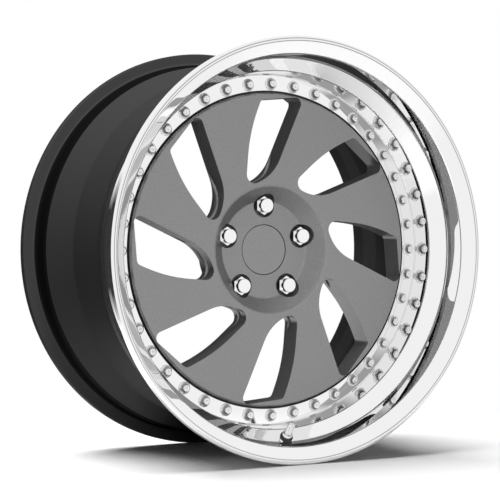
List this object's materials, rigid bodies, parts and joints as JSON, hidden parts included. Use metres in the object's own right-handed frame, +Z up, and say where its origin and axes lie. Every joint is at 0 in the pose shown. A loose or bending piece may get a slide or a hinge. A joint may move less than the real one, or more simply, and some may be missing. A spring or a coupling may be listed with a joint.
{
  "type": "alloy wheel",
  "caption": "Multi-piece alloy road wheel with a polished stepped lip, a black barrel and a flat grey centre disc with slanted windows.",
  "frame": {"origin": "centre of the rim, on its axis, midway between the two flange edges", "axes": "+Y along the spin axis from the street face to the car, +Z up, the street face looks to -Y"},
  "size_m": [0.5224, 0.2788, 0.5224],
  "materials": {
    "polished_lip": "polished",
    "barrel_coat": "satin",
    "disc_coat": "satin",
    "bright_fastener": "polished",
    "lug_chrome": "polished",
    "plated_nut": "satin",
    "cap_coat": "satin",
    "black_rubber": "matte",
    "sealant": "matte",
    "valve_chrome": "polished"
  },
  "bodies": {
    "root": {"outer_lip": "polished_lip", "inner_barrel": "barrel_coat", "centre_disc": "disc_coat", "assembly_bolts": "bright_fastener", "assembly_washers": "plated_nut", "assembly_nuts": "plated_nut", "lug_nuts": "lug_chrome", "centre_cap": "cap_coat", "cap_ring": "black_rubber", "seam_sealant": "sealant", "valve_stem": "valve_chrome", "valve_core": "valve_chrome", "valve_cap": "valve_chrome", "valve_nut": "valve_chrome", "valve_grommet": "black_rubber", "valve_seal": "black_rubber"}
  },
  "joints": []
}
